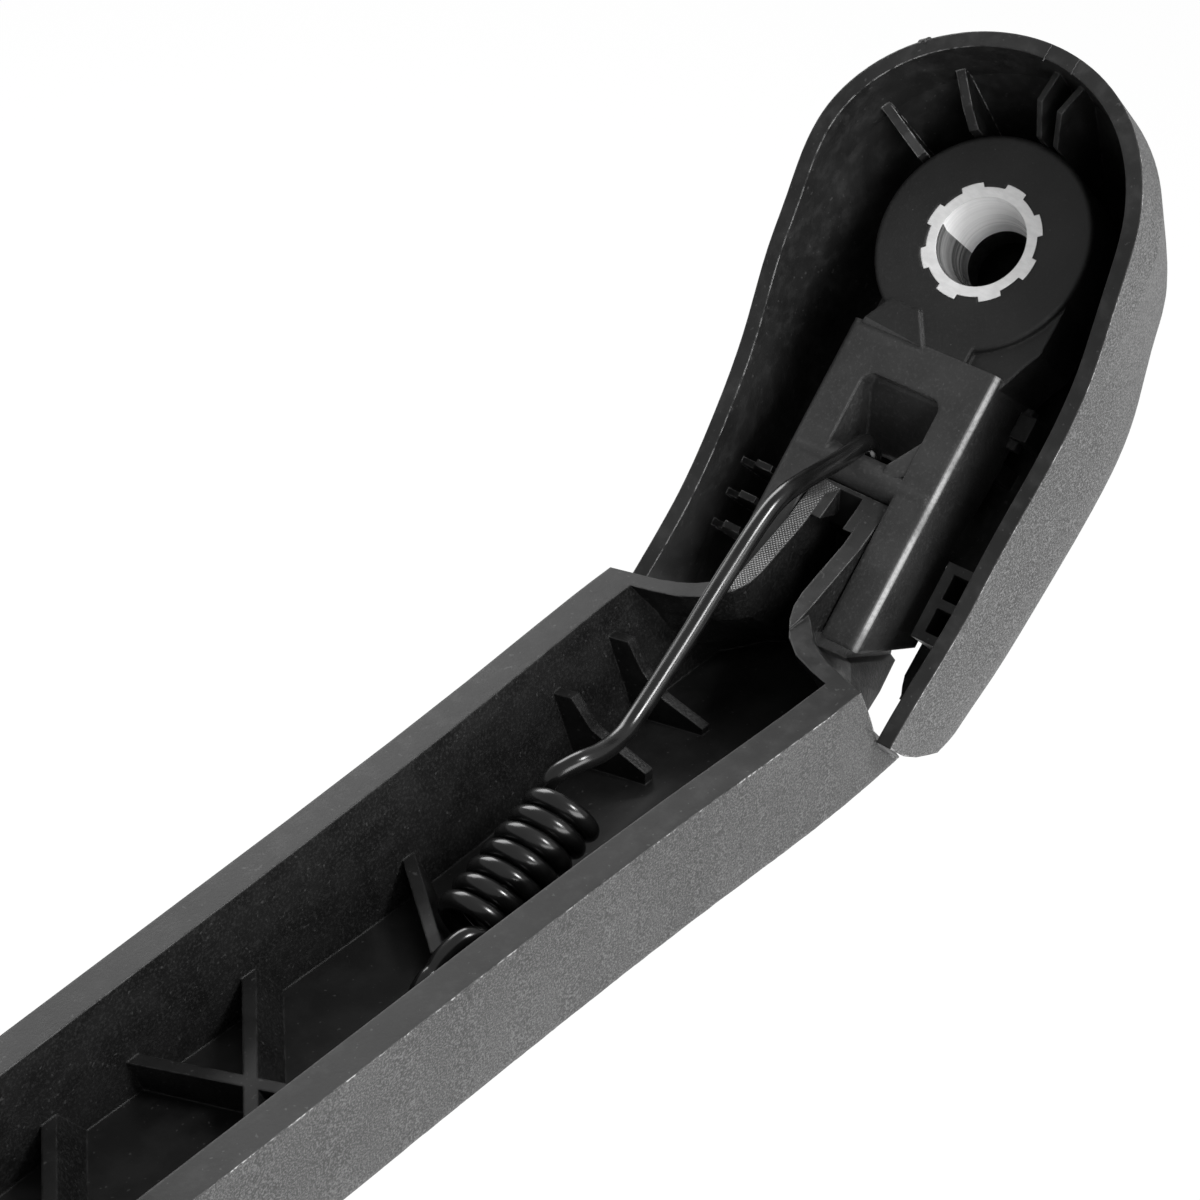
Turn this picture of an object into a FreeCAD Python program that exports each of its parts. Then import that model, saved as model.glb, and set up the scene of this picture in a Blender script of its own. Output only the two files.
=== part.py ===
import FreeCAD, Part
import math
import os

# Wiper arm: a folded rear wiper arm seen with its open side up. Millimetres.
# Origin where the spindle bore ends at the nut side, X along the arm, Z up from the arm's back.

V = FreeCAD.Vector

# Fold between head and arm, and hinge place
FOLD_DEG = 44.08
HINGE_L = 40.5
HINGE_N = -7.0
TRUNNION_R = 3.0
TRUNNION_FIT = 0.08
SIDE_GAP = 0.3

# Spindle boss and insert
BOSS_R = 12.8
BOSS_H = 11.0
BOSS_EDGE = 0.6
INSERT_ROOT_R = 6.5
INSERT_TIP_R = 7.1
INSERT_LUGS = 8
INSERT_LUG_W = 2.6
INSERT_TURN_DEG = -8.0
BORE_MOUTH_R = 5.28
BORE_R = 4.1
BORE_CONE_H = 7.42
BORE_CHAMFER = 0.3

# Head frame
FRAME_START = 13.2
FRAME_HALF_W = 9.9
FRAME_TOP = 0.2
FRAME_BOTTOM = -13.0
FRAME_EDGE = 1.2
WINDOW_START = 18.2
WINDOW_HALF_W = 5.15
WINDOW_CORNER = 1.5
BAR_L = 28.9
BAR_N = -1.8
BAR_R = 2.1
FRAME_SIDE = [(10.0, FRAME_TOP), (47.2, FRAME_TOP), (47.2, -0.3), (43.0, FRAME_BOTTOM),
              (40.5, FRAME_BOTTOM), (38.4, -12.6), (36.0, -11.0), (31.5, -9.8), (24.0, -11.0),
              (10.0, -11.0)]
WEB_HALF_W = 10.2
WEB_TOP_LEFT = -4.6
WEB_TOP_RIGHT = -1.0
WEB_RIGHT = [(0.0, 0.0), (0.0, 12.5), (9.0, 12.3), (10.7, 11.4), (14.6, FRAME_HALF_W - 0.1),
             (15.4, FRAME_HALF_W - 0.1), (15.4, 0.0)]
EAR = [(9.7, -6.5), (9.8, -2.6), (13.2, -0.3), (13.5, -0.3), (13.5, -8.4), (12.8, -8.3)]
EAR_TOP = 0.45
WINDOW_SLOPE = [(17.0, -1.2), (18.6, -1.8), (25.0, -8.6), (25.0, -BOSS_H), (17.0, -BOSS_H)]
NECK_BLOCK_HALF_W = 5.2
GUSSET = [(22.6, 5.6), (27.2, 5.6), (28.6, 2.6), (27.0, 2.6)]
GUSSET_BOTTOM = -4.0

# Cap
CAP_WALL = 1.84
CAP_NOSE_R = 21.08
CAP_END = 58.0
CAP_RIM_W = [(0, 21.08), (5, 21.26), (10, 21.44), (15, 21.19), (20, 20.67), (25, 20.11), (30, 19.67),
             (35, 19.41), (40, 19.29), (45, 19.23), (50, 19.22), (CAP_END, 19.30)]
CAP_RIM_N = [(-24, 8.6), (-21, 8.99), (-15, 9.58), (-10, 9.71), (-5, 9.27), (0, 8.09), (3, 7.01),
             (6, 5.88), (10, 4.51), (15, 2.9), (20, 1.61), (25, 0.85), (30, 0.37), (35, -0.09),
             (40, -0.25), (45, 0.16), (50, 0.75), (60, 1.3)]
CAP_BASE_N = 2.0
CAP_FLOOR_N0 = -19.0
CAP_FLOOR_SLOPE = 0.05
CAP_EDGE = 3.5
CAP_EDGE_INNER = 2.6
CAP_SECTIONS = [-0.42, 0.0, 0.25, 0.45, 0.6, 0.72, 0.8, 0.87, 0.92, 0.955, 0.98, 0.995, 1.0]
CAP_END_PROFILE = [(54.9, 6.0), (54.9, 1.6), (54.8, -2.8), (54.2, -6.0), (52.5, -11.2), (51.9, -11.82)]
NOTCH = [(30.2, 6.4), (32.2, 7.0), (33.6, 8.05), (37.0, 9.5), (44.4, 9.5), (46.2, 9.5), (47.5, 9.9),
         (48.4, 10.3), (60.0, 10.8)]
CAP_RIBS = [(212.0, 1.1, 19.6, 4.3, 13.4, 0.4), (240.0, 1.1, 19.6, 4.3, 13.4, 0.4),
            (175.0, 0.7, 19.6, 6.0, 12.9, 1.5), (164.5, 0.7, 19.6, 6.0, 12.9, 1.5)]
CAP_RIB_BOTTOM = -12.0
LADDER_TOP = -4.0
LADDER_BAR_T = 12.8
LADDER_BAR_W = 1.3
LADDER_RUNG_W = 1.1
LADDER_START = 33.4
LADDER_END = 42.6
LADDER_RUNGS = [33.4, 37.5, 41.5]
LEFT_FINS = [32.0, 36.0, 39.9]
LEFT_FIN_W = 0.8
LEFT_FIN_TOP = [(-12.2, LADDER_TOP), (-14.4, LADDER_TOP), (-16.6, -8.0), (-19.0, -8.0)]
SEAT_RING_OUT = 11.0
SEAT_RING_IN = 9.4
SEAT_PAD_L = 20.0
SNAP_L = (14.5, 17.5)
SNAP_GAP = 0.15
SNAP_WALL = 1.3
SNAP_HOOK = 0.8
SNAP_LEDGE_TOP = -9.5
SNAP_HOOK_H = 1.4

# Arm
ARM_BACK = -11.4
ARM_FLOOR = -8.9
ARM_RIM = 4.48
ARM_TIP = 262.0
ARM_W = [(-14, 16.6), (5, 16.79), (10, 16.96), (15, 17.05), (20, 17.03), (30, 16.61), (40, 15.99),
         (50, 15.46), (60, 15.04), (70, 14.71), (80, 14.45), (90, 14.23), (100, 14.03), (110, 13.81),
         (150, 12.5), (200, 10.5), (250, 8.6), (ARM_TIP, 8.2)]
ARM_RIM_WALL = 3.7
ARM_LEAN = [(-14, 4.6), (30, 4.4), (50, 4.0), (67, 3.5), (86, 2.1), (98, 1.3), (111, 0.7), (150, 0.5),
            (ARM_TIP, 0.5)]
ARM_RIM_DROP = [(115.0, ARM_RIM), (150.0, 3.2), (200.0, 0.8), (250.0, -1.6), (ARM_TIP + 3.0, -2.2)]
ARM_TIP_WALL = 3.0
ARM_BACK_EDGE = 1.6
END_STATIONS = [(4.85, (12.0, 11.0, 4.0, -5.5)), (5.9, (13.0, 11.6, 4.5, -4.9)),
                (7.9, (15.3, 12.6, 7.2, 1.0)), (8.9, (16.1, 13.4, 9.8, 4.8)),
                (9.7, (16.6, 13.9, 11.8, 6.5)), (11.5, (17.5, 15.0, 12.6, 7.2)),
                (17.6, (19.45, 17.4, 14.9, 9.4))]
END_LEVELS = (ARM_RIM, 0.0, -6.2, ARM_BACK)
ROOM_TOP = 9.0
ROOM_STATIONS = [(2.8, (10.5, 9.5, 2.0, -4.0)), (3.1, (12.4, 11.6, 5.5, -1.0)),
                 (3.9, (14.2, 12.9, 6.5, 0.0)), (5.6, (16.6, 14.6, 7.5, 1.5)),
                 (8.0, (18.6, 15.6, 11.0, 6.0)), (11.0, (19.8, 17.2, 15.0, 9.6)),
                 (17.6, (21.7, 19.7, 17.2, 11.7))]

# Neck between the prongs
NECK_HALF_W = WINDOW_HALF_W - SIDE_GAP
NECK_WALL = 2.05
NECK_PAD_W = 3.3
STOP_GAP = 0.3
NECK_SIDE = [(22.0, ARM_BACK), (22.0, ARM_RIM), (14.0, 4.75), (11.7, 5.3), (8.3, 6.4), (3.0, 8.1),
             (-0.9, 10.1), (-2.4, 11.1), (-4.0, 11.0), (-4.0, 9.45), (-5.3, 8.4), (-5.6, 6.5),
             (-6.3, 3.5), (-6.6, -2.0), (-6.4, -7.0), (-5.5, ARM_BACK)]
NECK_WELL = [(24.0, ARM_FLOOR), (24.0, 20.0), (-2.0, 20.0), (-2.0, 6.0), (-3.9, 3.2), (-4.2, -2.0),
             (-4.0, -6.8), (-3.2, ARM_FLOOR)]

# Arm inside: stiffening ribs as (top line, base line), ribs on the left wall and the spring's peg
RIB_T = 1.4
RIB_TOP = -4.5
RIBS = [(((58.8, -12.7), (70.1, 2.9)), ((58.4, -10.6), (65.2, 0.9))),
        (((83.0, -10.4), (101.6, 8.6)), ((79.2, -10.4), (97.6, 8.4))),
        (((101.0, -13.0), (91.8, 6.6)), ((98.8, -11.2), (91.2, 6.6))),
        (((107.6, -12.0), (128.0, 11.0)), ((104.2, -11.8), (124.6, 11.0))),
        (((131.2, -12.0), (121.6, 11.0)), ((129.4, -12.0), (120.4, 11.0))),
        (((135.0, -12.0), (156.0, 11.0)), ((133.0, -12.0), (154.0, 11.0))),
        (((160.0, -12.0), (150.0, 11.0)), ((158.6, -12.0), (149.0, 11.0))),
        (((164.0, -11.0), (184.0, 10.0)), ((162.6, -11.0), (182.6, 10.0))),
        (((188.0, -11.0), (178.5, 10.0)), ((187.0, -11.0), (177.5, 10.0))),
        (((192.0, -10.0), (210.0, 9.0)), ((191.0, -10.0), (209.0, 9.0))),
        (((214.0, -10.0), (205.0, 9.0)), ((213.0, -10.0), (204.0, 9.0))),
        (((218.0, -9.0), (234.0, 8.0)), ((217.4, -9.0), (233.4, 8.0)))]
WALL_RIBS = [(24.4, [(-17, 1.1), (-9.7, 1.1), (-7.9, -2.5), (-5.7, -5.3), (-0.9, -8.0)]),
             (35.0, [(-17, 0.0), (-9.0, 0.0), (-6.7, -3.5), (-0.5, -7.4)])]
WALL_RIB_T = 1.3
WALL_RIB_TURN = -0.268
WALL_RIB_FOOT = -12.0
PEG_X = 72.3
PEG_Z = -7.2
PEG_R = 1.8
PEG_START = 3.1

# Blade pin
PIN_X = 252.0
PIN_Z = -6.2
PIN_R = 1.75
PIN_HALF_L = 8.1
PIN_WINDOW = (243.0, 258.5)

# Spring
WIRE_R = 1.075
WIRE_GAP = 0.08
COIL_R = 3.2
COIL_PITCH = 2.29
COIL_POINTS = 91
COIL_SLOPE_DEG = -20.8
COIL_T = 3.0
COIL_START = (50.0, 1.4)
COIL_PHASE_DEG = -90.0
COIL_STEPS = 12
BAR_HOOK_T = -1.5
WIRE_LENGTHS = 8
LEG = [(-1.6, -1.5, 15.05), (5.6, -1.5, 15.8), (9.8, -1.4, 15.9), (13.7, -1.2, 14.7),
       (20.6, -0.6, 11.4), (28.6, 0.3, 7.7), (37.4, 1.3, 4.1), (41.0, 1.8, 3.6), (44.4, 2.1, 4.1),
       (47.2, 1.6, 4.5), (49.3, 0.5, 3.5)]
PEG_HOOK_T = 4.6
LEAD_OUT = [(66.6, 6.0, -3.3), (68.5, 5.2, -2.3), (70.9, 4.7, -3.1)]


def curve(points):
    spline = Part.BSplineCurve()
    spline.interpolate([V(*p) for p in points])
    return spline


def side_prism(points, t0, t1):
    corners = [V(a, t0, b) for a, b in points]
    face = Part.Face(Part.makePolygon(corners + corners[:1]))
    return face.extrude(V(0, t1 - t0, 0))


def plan_prism(points, z0, z1):
    corners = [V(a, b, z0) for a, b in points]
    face = Part.Face(Part.makePolygon(corners + corners[:1]))
    return face.extrude(V(0, 0, z1 - z0))


def box(x, y, z):
    return Part.makeBox(x[1] - x[0], y[1] - y[0], z[1] - z[0], V(x[0], y[0], z[0]))


def across(radius, x, z, t0, t1):
    return Part.makeCylinder(radius, t1 - t0, V(x, t0, z), V(0, 1, 0))


def both_sides(shape):
    return [shape, shape.mirror(V(0, 0, 0), V(0, 1, 0))]


def table(rows, x):
    for (x0, y0), (x1, y1) in zip(rows, rows[1:]):
        if x <= x1:
            return y0 + (y1 - y0) * (x - x0) / (x1 - x0)
    return rows[-1][1]


def union(shapes):
    return shapes[0].multiFuse(shapes[1:]).removeSplitter()


def on_head(shape):
    return shape.translated(V(0, 0, BOSS_H)).rotated(V(0, 0, 0), V(0, 1, 0), FOLD_DEG)


def hinge_point():
    fold = math.radians(FOLD_DEG)
    height = HINGE_N + BOSS_H
    x = HINGE_L * math.cos(fold) + height * math.sin(fold)
    return V(x, 0, height * math.cos(fold) - HINGE_L * math.sin(fold))


def on_arm(shape):
    return shape.translated(hinge_point())


def bar_in_arm():
    fold = math.radians(FOLD_DEG)
    dl = BAR_L - HINGE_L
    dn = BAR_N - HINGE_N
    return dl * math.cos(fold) + dn * math.sin(fold), dn * math.cos(fold) - dl * math.sin(fold)


# Spindle insert
def lug(angle):
    block = box((0, INSERT_TIP_R + 1), (-INSERT_LUG_W / 2, INSERT_LUG_W / 2), (-BOSS_H, 0))
    return block.rotated(V(0, 0, 0), V(0, 0, 1), angle)


def insert_outside():
    step = 360.0 / INSERT_LUGS
    lugs = [lug(INSERT_TURN_DEG + step * i) for i in range(INSERT_LUGS)]
    limit = Part.makeCylinder(INSERT_TIP_R, BOSS_H, V(0, 0, -BOSS_H))
    core = Part.makeCylinder(INSERT_ROOT_R, BOSS_H, V(0, 0, -BOSS_H))
    return union([core] + [one.common(limit) for one in lugs])


def spindle_insert():
    body = insert_outside()
    body = body.cut(Part.makeCylinder(BORE_R, BOSS_H + 2, V(0, 0, -BOSS_H - 1)))
    body = body.cut(Part.makeCone(BORE_R, BORE_MOUTH_R, BORE_CONE_H, V(0, 0, -BORE_CONE_H)))
    inner, outer = BORE_MOUTH_R - BORE_CHAMFER, BORE_MOUTH_R + BORE_CHAMFER
    chamfer = Part.makeCone(inner, outer, 2 * BORE_CHAMFER, V(0, 0, -BORE_CHAMFER))
    return body.cut(chamfer)


# Head
def boss():
    disc = Part.makeCylinder(BOSS_R, BOSS_H, V(0, 0, -BOSS_H))
    rims = [e for e in disc.Edges if abs(e.BoundBox.ZMin) < 0.01 and abs(e.BoundBox.ZMax) < 0.01]
    return disc.makeFillet(BOSS_EDGE, rims)


def frame_bars():
    block = side_prism(FRAME_SIDE, -FRAME_HALF_W, FRAME_HALF_W)
    block = block.cut(box((0, FRAME_START), (-20, 20), (-20, 5)))
    long_edges = [e for e in block.Edges if e.Length > 25 and abs(e.BoundBox.ZMax - FRAME_TOP) < 0.01]
    return block.makeFillet(FRAME_EDGE, long_edges)


def window():
    cut = box((WINDOW_START, 60), (-WINDOW_HALF_W, WINDOW_HALF_W), (-20, 5))
    corners = [e for e in cut.Edges if abs(e.BoundBox.XMax - WINDOW_START) < 0.01 and e.Length > 20]
    return cut.makeFillet(WINDOW_CORNER, corners)


def neck_to_boss():
    middle = box((8, FRAME_START + 0.5), (-NECK_BLOCK_HALF_W, NECK_BLOCK_HALF_W), (-BOSS_H, 0))
    left = box((4, FRAME_START + 2), (-WEB_HALF_W, 0), (-BOSS_H, WEB_TOP_LEFT))
    right = plan_prism(WEB_RIGHT, -BOSS_H, WEB_TOP_RIGHT)
    ear = plan_prism(EAR, -BOSS_H / 2, EAR_TOP)
    reach = WEB_HALF_W + SNAP_HOOK
    outer = box((SNAP_L[0] - 1, SNAP_L[1] + 1), (-reach, reach), (-BOSS_H, SNAP_LEDGE_TOP))
    return [middle, left, right, ear, outer]


def head():
    body = union([boss(), frame_bars()] + neck_to_boss())
    body = body.cut(window())
    bar = across(BAR_R, BAR_L, BAR_N, -FRAME_HALF_W + 1, FRAME_HALF_W - 1)
    gusset = plan_prism(GUSSET, GUSSET_BOTTOM, FRAME_TOP - 0.1)
    slope = side_prism(WINDOW_SLOPE, -WINDOW_HALF_W - 0.5, WINDOW_HALF_W + 0.5)
    body = union([body, bar, gusset, slope])
    body = body.cut(insert_outside())
    reach = WINDOW_HALF_W + 2.65
    return body.cut(across(TRUNNION_R + TRUNNION_FIT, HINGE_L, HINGE_N, -reach, reach))


# Cap
def cap_offset(l, u, edge):
    if u <= 0:
        return 0.0
    near = min(max(l, 0.0), 50.0) / 50.0
    base = 3.72 - 14.89 * near + 10.98 * near ** 2
    if l < 0:
        base = 3.72 + (6.21 - 3.72) * min(-l / CAP_NOSE_R, 1.0)
    return base * u + edge * (1 - math.sqrt(max(0.0, 1 - u ** 6)))


def cap_wire(u, inset, edge):
    right = [(l, table(CAP_RIM_W, l)) for l in (58, 50, 42, 34, 27, 20, 15, 10, 5)]
    nose = [math.radians(a) for a in range(90, 271, 15)]
    left = [(l, -w) for l, w in reversed(right)]
    outline = right + [(CAP_NOSE_R * math.cos(a), CAP_NOSE_R * math.sin(a)) for a in nose] + left
    points = []
    for l, t in outline:
        pull = inset + cap_offset(l, u, edge)
        if l > 0:
            point = (l, math.copysign(abs(t) - pull, t))
        else:
            scale = 1 - pull / CAP_NOSE_R
            point = (l * scale, t * scale)
        floor = CAP_FLOOR_N0 + inset + CAP_FLOOR_SLOPE * point[0]
        points.append((point[0], point[1], CAP_BASE_N + u * (floor - CAP_BASE_N)))
    edge_line = Part.makeLine(V(*points[-1]), V(*points[0]))
    return Part.Wire([curve(points).toShape(), edge_line])


def cap_solid(inset, edge):
    return Part.makeLoft([cap_wire(u, inset, edge) for u in CAP_SECTIONS], True, True)


def above_rim():
    rim = curve([(l, -30, n) for l, n in CAP_RIM_N]).toShape()
    first = V(CAP_RIM_N[0][0], -30, CAP_RIM_N[0][1])
    last = V(CAP_RIM_N[-1][0], -30, CAP_RIM_N[-1][1])
    top = Part.makePolygon([last, V(last.x, -30, 30), V(first.x, -30, 30), first])
    face = Part.Face(Part.Wire([rim] + top.Edges))
    return face.extrude(V(0, 60, 0))


def beyond_end():
    fold = math.radians(FOLD_DEG)
    back = hinge_point().z + ARM_BACK
    low = 40.0
    low_n = (back + low * math.sin(fold)) / math.cos(fold) - BOSS_H
    profile = CAP_END_PROFILE + [(low, low_n), (low, -40), (80, -40), (80, 6)]
    return side_prism(profile, -30, 30)


def cap_rib(angle, width, r_out, top_out, r_in, top_in):
    side = [(r_out, CAP_RIB_BOTTOM), (r_out, top_out), (15.6, top_out if width < 1 else 2.4),
            (r_in, top_in), (r_in, CAP_RIB_BOTTOM)]
    return side_prism(side, -width / 2, width / 2).rotated(V(0, 0, 0), V(0, 0, 1), angle)


def ladder():
    floor = CAP_FLOOR_N0 + CAP_WALL / 2 + CAP_FLOOR_SLOPE * LADDER_START
    bar = box((LADDER_START, LADDER_END), (LADDER_BAR_T, LADDER_BAR_T + LADDER_BAR_W), (floor, LADDER_TOP))
    rungs = [box((l, l + LADDER_RUNG_W), (LADDER_BAR_T, 19.0), (floor, LADDER_TOP)) for l in LADDER_RUNGS]
    return union([bar] + rungs)


def left_fins():
    floor = CAP_FLOOR_N0 + CAP_WALL / 2 + CAP_FLOOR_SLOPE * LADDER_START
    profile = LEFT_FIN_TOP + [(LEFT_FIN_TOP[-1][0], floor), (LEFT_FIN_TOP[0][0], floor)]
    fins = []
    for l in LEFT_FINS:
        corners = [V(l, t, n) for t, n in profile]
        fins.append(Part.Face(Part.makePolygon(corners + corners[:1])).extrude(V(LEFT_FIN_W, 0, 0)))
    return fins


def seat():
    floor = CAP_FLOOR_N0 + CAP_WALL / 2
    ring = Part.makeCylinder(SEAT_RING_OUT, -BOSS_H - floor, V(0, 0, floor))
    ring = ring.cut(Part.makeCylinder(SEAT_RING_IN, -BOSS_H - floor, V(0, 0, floor)))
    pad = box((SEAT_PAD_L, SEAT_PAD_L + 2), (-FRAME_HALF_W, FRAME_HALF_W), (floor + 1, -11.0))
    pad = pad.cut(box((0, 60), (-WINDOW_HALF_W, WINDOW_HALF_W), (-20, 5)))
    return [ring, pad]


def snap():
    inner = WEB_HALF_W + SNAP_HOOK + SNAP_GAP
    floor = CAP_FLOOR_N0 + CAP_WALL / 2
    post = box(SNAP_L, (inner, inner + SNAP_WALL), (floor, SNAP_LEDGE_TOP + SNAP_GAP + SNAP_HOOK_H))
    hook_z = (SNAP_LEDGE_TOP + SNAP_GAP, SNAP_LEDGE_TOP + SNAP_GAP + SNAP_HOOK_H)
    return union([post, box(SNAP_L, (inner - SNAP_HOOK, inner + SNAP_WALL), hook_z)])


def cap():
    shell = cap_solid(0.0, CAP_EDGE).cut(cap_solid(CAP_WALL, CAP_EDGE_INNER))
    core = cap_solid(CAP_WALL / 2, (CAP_EDGE + CAP_EDGE_INNER) / 2)
    ribs = [cap_rib(*row) for row in CAP_RIBS]
    inner = ribs + [ladder()] + left_fins() + seat() + both_sides(snap())
    body = shell.multiFuse([one.common(core) for one in inner])
    notch = NOTCH + [(l, -t) for l, t in reversed(NOTCH)]
    return body.cut(above_rim()).cut(beyond_end()).cut(plan_prism(notch, -24, -13.2))


# Arm
def arm_outline(inset_rows, z):
    xs = [-14, 5, 20, 40, 60, 86, 111, 150, 200, 250, ARM_TIP]
    right = [(x, table(ARM_W, x) - (table(inset_rows, x) if inset_rows else 0.0), z) for x in xs]
    left = [(x, -y, z) for x, y, _ in reversed(right)]
    edges = [curve(right).toShape(), Part.makeLine(V(*right[-1]), V(*left[0])), curve(left).toShape(),
             Part.makeLine(V(*left[-1]), V(*right[0]))]
    return Part.Wire(edges)


def arm_outside():
    body = Part.Face(arm_outline(None, ARM_BACK)).extrude(V(0, 0, ARM_RIM - ARM_BACK))
    back = [e for e in body.Edges if e.BoundBox.ZMax < ARM_BACK + 0.01 and e.BoundBox.XMax > ARM_TIP - 1]
    body = body.makeFillet(ARM_BACK_EDGE, back)
    drop = ARM_RIM_DROP + [(ARM_TIP + 3, 20), (115, 20)]
    return body.cut(side_prism(drop, -30, 30))


def arm_hollow():
    top = [(x, ARM_RIM_WALL) for x, _ in ARM_LEAN]
    low = [(x, ARM_RIM_WALL + b) for x, b in ARM_LEAN]
    levels = [arm_outline(low, ARM_FLOOR), arm_outline(top, ARM_RIM + 0.1), arm_outline(top, ROOM_TOP)]
    room = Part.makeLoft(levels, True, True)
    return room.cut(box((ARM_TIP - ARM_TIP_WALL, ARM_TIP + 5), (-20, 20), (-20, 20)))


def end_zone(stations):
    wires = []
    rows = [(-t, xs) for t, xs in reversed(stations)] + stations
    for t, xs in rows:
        line = [V(x, t, z) for x, z in zip(xs, END_LEVELS)]
        far = [V(xs[3], t, -30), V(-40, t, -30), V(-40, t, 30), V(xs[0], t, 30)]
        corners = line + far
        wires.append(Part.makePolygon(corners + corners[:1]))
    return Part.makeLoft(wires, True, True)


def neck():
    body = side_prism(NECK_SIDE, -NECK_HALF_W, NECK_HALF_W)
    bar_x, bar_z = bar_in_arm()
    body = body.cut(across(BAR_R + STOP_GAP, bar_x, bar_z, -NECK_HALF_W - 1, NECK_HALF_W + 1))
    inside = NECK_HALF_W - NECK_WALL
    well = side_prism(NECK_WELL, -inside, inside)
    return body, well


def pads():
    bar_x, bar_z = bar_in_arm()
    profile = [(-0.9, 10.1), (-2.4, 11.1), (-4.0, 11.0), (-4.0, 9.45), (-5.0, 8.6), (-4.6, 7.6),
               (-1.2, 7.6), (1.6, 8.75)]
    inside = NECK_HALF_W - NECK_PAD_W
    pad = side_prism(profile, inside, NECK_HALF_W)
    pad = pad.cut(across(BAR_R + STOP_GAP, bar_x, bar_z, -10, 10))
    return both_sides(pad)


def strip(line, z):
    (x0, t0), (x1, t1) = line
    length = math.hypot(x1 - x0, t1 - t0)
    nx = -(t1 - t0) / length * RIB_T / 2
    nt = (x1 - x0) / length * RIB_T / 2
    corners = [V(x0 + nx, t0 + nt, z), V(x1 + nx, t1 + nt, z), V(x1 - nx, t1 - nt, z),
               V(x0 - nx, t0 - nt, z)]
    return Part.makePolygon(corners + corners[:1])


def rib(top, base):
    return Part.makeLoft([strip(base, ARM_FLOOR - 0.5), strip(top, RIB_TOP)], True, True)


def wall_rib(x, top):
    base = [(top[-1][0], ARM_FLOOR - 0.5), (top[0][0], ARM_FLOOR - 0.5)]
    corners = [V(x + WALL_RIB_TURN * (t - WALL_RIB_FOOT), t, z) for t, z in top + base]
    return Part.Face(Part.makePolygon(corners + corners[:1])).extrude(V(WALL_RIB_T, 0, 0))


def arm():
    outside = arm_outside()
    shell = outside.cut(end_zone(END_STATIONS))
    room = arm_hollow().cut(end_zone(ROOM_STATIONS))
    shell = shell.cut(room)
    neck_body, well = neck()
    inner = [rib(*pair) for pair in RIBS] + [wall_rib(*row) for row in WALL_RIBS]
    inner.append(across(PEG_R, PEG_X, PEG_Z, PEG_START, 14))
    trunnions = across(TRUNNION_R, 0, 0, -NECK_HALF_W - 2.65, NECK_HALF_W + 2.65)
    neck_body = union([neck_body, trunnions]).cut(well)
    body = union([shell.cut(well), neck_body.cut(room)] + pads() + [one.common(outside) for one in inner])
    body = body.cut(across(PIN_R, PIN_X, PIN_Z, -20, 20))
    lead = box(PIN_WINDOW, (-4.0, 4.0), (ARM_BACK - 1, ARM_FLOOR + 0.1))
    return body.cut(lead)


def blade_pin():
    return across(PIN_R, PIN_X, PIN_Z, -PIN_HALF_L, PIN_HALF_L)


# Spring
def hook_points(x, z, radius, t, angles):
    points = []
    for angle in angles:
        a = math.radians(angle)
        points.append((x + radius * math.cos(a), t, z + radius * math.sin(a)))
    return points


def coil_points():
    slope = math.radians(COIL_SLOPE_DEG)
    along = (math.cos(slope), math.sin(slope))
    up = (-math.sin(slope), math.cos(slope))
    points = []
    for i in range(COIL_POINTS):
        s = COIL_PITCH * i / COIL_STEPS
        a = math.radians(COIL_PHASE_DEG - 360.0 * i / COIL_STEPS)
        high = COIL_R * math.cos(a)
        x = COIL_START[0] + along[0] * s + up[0] * high
        z = COIL_START[1] + along[1] * s + up[1] * high
        points.append((x, COIL_T + COIL_R * math.sin(a), z))
    return points


def wire_length(path, start, step):
    edge = path.toShape(start, start + step)
    ring = Part.makeCircle(WIRE_R, edge.valueAt(edge.FirstParameter), edge.tangentAt(edge.FirstParameter))
    return Part.Wire([edge]).makePipeShell([Part.Wire([ring])], True, False)


def end_face(length, point):
    flat = [face for face in length.Faces if isinstance(face.Surface, Part.Plane)]
    return min(flat, key=lambda face: (face.CenterOfMass - point).Length)


def tension_spring():
    bar_x, bar_z = bar_in_arm()
    bar_turn = (230, 205, 180, 155, 130, 108)
    bar_hook = hook_points(bar_x, bar_z, BAR_R + WIRE_R + WIRE_GAP, BAR_HOOK_T, bar_turn)
    peg_hook = hook_points(PEG_X, PEG_Z, PEG_R + WIRE_R + WIRE_GAP, PEG_HOOK_T, (86, 64, 42, 20, -2, -20))
    path = curve(bar_hook + LEG + coil_points() + LEAD_OUT + peg_hook)
    step = (path.LastParameter - path.FirstParameter) / WIRE_LENGTHS
    lengths = [wire_length(path, path.FirstParameter + step * i, step) for i in range(WIRE_LENGTHS)]
    skin = [face for one in lengths for face in one.Faces if not isinstance(face.Surface, Part.Plane)]
    skin.append(end_face(lengths[0], path.value(path.FirstParameter)))
    skin.append(end_face(lengths[-1], path.value(path.LastParameter)))
    shell = Part.Shell(skin)
    shell.sewShape()
    return Part.Solid(Part.Shell(shell.Faces))


os.makedirs("parts", exist_ok=True)
NODES = {
    "head": on_head(head()),
    "spindle_insert": on_head(spindle_insert()),
    "cap": on_head(cap()),
    "arm": on_arm(arm()),
    "blade_pin": on_arm(blade_pin()),
    "tension_spring": on_arm(tension_spring()),
}
for name, shape in NODES.items():
    shape.exportStep("parts/" + name + ".step")
    print(name, shape.isValid(), len(shape.Solids), round(shape.Volume, 1))
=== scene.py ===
import math

import bmesh
import bpy
from mathutils import Matrix, Vector

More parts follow.
